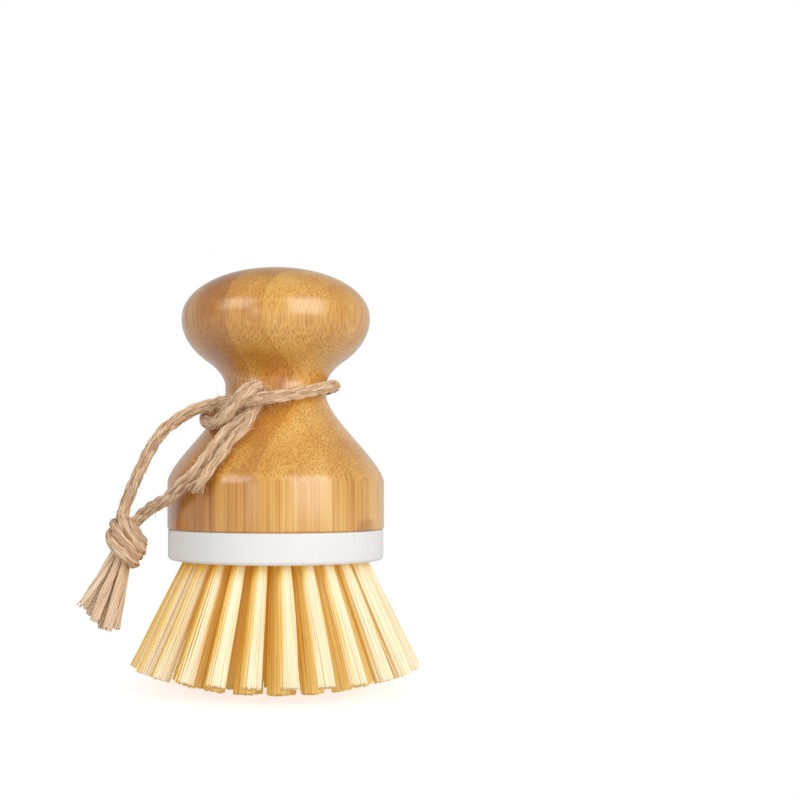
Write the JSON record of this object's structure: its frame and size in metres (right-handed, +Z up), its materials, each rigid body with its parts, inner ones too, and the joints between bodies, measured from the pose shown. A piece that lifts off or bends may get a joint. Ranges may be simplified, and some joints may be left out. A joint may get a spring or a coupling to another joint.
{
  "type": "palm dish brush",
  "caption": "Palm dish brush: turned bamboo knob handle on a round white block with splayed tufts of cream bristle and a knotted jute hanging loop.",
  "frame": {"origin": "on the axis of the turned handle, at the trimmed bristle ends that the brush stands on", "axes": "+Z up along the handle's axis to the top of the knob, -Y to the front of the brush, where the half knot of the loop lies, +X to the right seen from the front"},
  "size_m": [0.0809, 0.0691, 0.1003],
  "materials": {
    "bamboo": "clear satin lacquer over laminated bamboo with upright grain",
    "white_plastic": "satin white moulding",
    "cream_bristle": "cream filaments, faintly glossy",
    "golden_bristle": "cream filaments that look golden in the shade between the tufts",
    "jute": "hairy twisted jute yarn"
  },
  "bodies": {
    "brush": {"handle": "bamboo", "bristle_block": "white_plastic", "tuft_centre": "golden_bristle", "tuft_inner_01": "golden_bristle", "tuft_inner_02": "golden_bristle", "tuft_inner_03": "golden_bristle", "tuft_inner_04": "golden_bristle", "tuft_inner_05": "golden_bristle", "tuft_inner_06": "golden_bristle", "tuft_inner_07": "golden_bristle", "tuft_inner_08": "golden_bristle", "tuft_middle_01": "golden_bristle", "tuft_middle_02": "golden_bristle", "tuft_middle_03": "golden_bristle", "tuft_middle_04": "golden_bristle", "tuft_middle_05": "golden_bristle", "tuft_middle_06": "golden_bristle", "tuft_middle_07": "golden_bristle", "tuft_middle_08": "golden_bristle", "tuft_middle_09": "golden_bristle", "tuft_middle_10": "golden_bristle", "tuft_middle_11": "golden_bristle", "tuft_middle_12": "golden_bristle", "tuft_middle_13": "golden_bristle", "tuft_middle_14": "golden_bristle", "tuft_middle_15": "golden_bristle", "tuft_middle_16": "golden_bristle", "tuft_middle_17": "golden_bristle", "tuft_middle_18": "golden_bristle", "tuft_outer_01": "cream_bristle", "tuft_outer_02": "cream_bristle", "tuft_outer_03": "cream_bristle", "tuft_outer_04": "cream_bristle", "tuft_outer_05": "cream_bristle", "tuft_outer_06": "cream_bristle", "tuft_outer_07": "cream_bristle", "tuft_outer_08": "cream_bristle", "tuft_outer_09": "cream_bristle", "tuft_outer_10": "cream_bristle", "tuft_outer_11": "cream_bristle", "tuft_outer_12": "cream_bristle", "tuft_outer_13": "cream_bristle", "tuft_outer_14": "cream_bristle", "tuft_outer_15": "cream_bristle", "tuft_outer_16": "cream_bristle", "tuft_outer_17": "cream_bristle", "tuft_outer_18": "cream_bristle", "tuft_outer_19": "cream_bristle", "tuft_outer_20": "cream_bristle", "tuft_outer_21": "cream_bristle", "tuft_outer_22": "cream_bristle", "tuft_outer_23": "cream_bristle", "tuft_outer_24": "cream_bristle", "tuft_outer_25": "cream_bristle"},
    "loop": {"twine_end_knot": "jute", "twine_lower_strand": "jute", "twine_neck_turn": "jute", "twine_tail": "jute", "twine_upper_strand": "jute"}
  },
  "joints": [
    {"name": "loop_turn", "type": "hinge", "parent": "brush", "child": "loop", "pos_m": [0, 0, 0.0713], "axis": [0, 0, 1], "continuous": true}
  ]
}
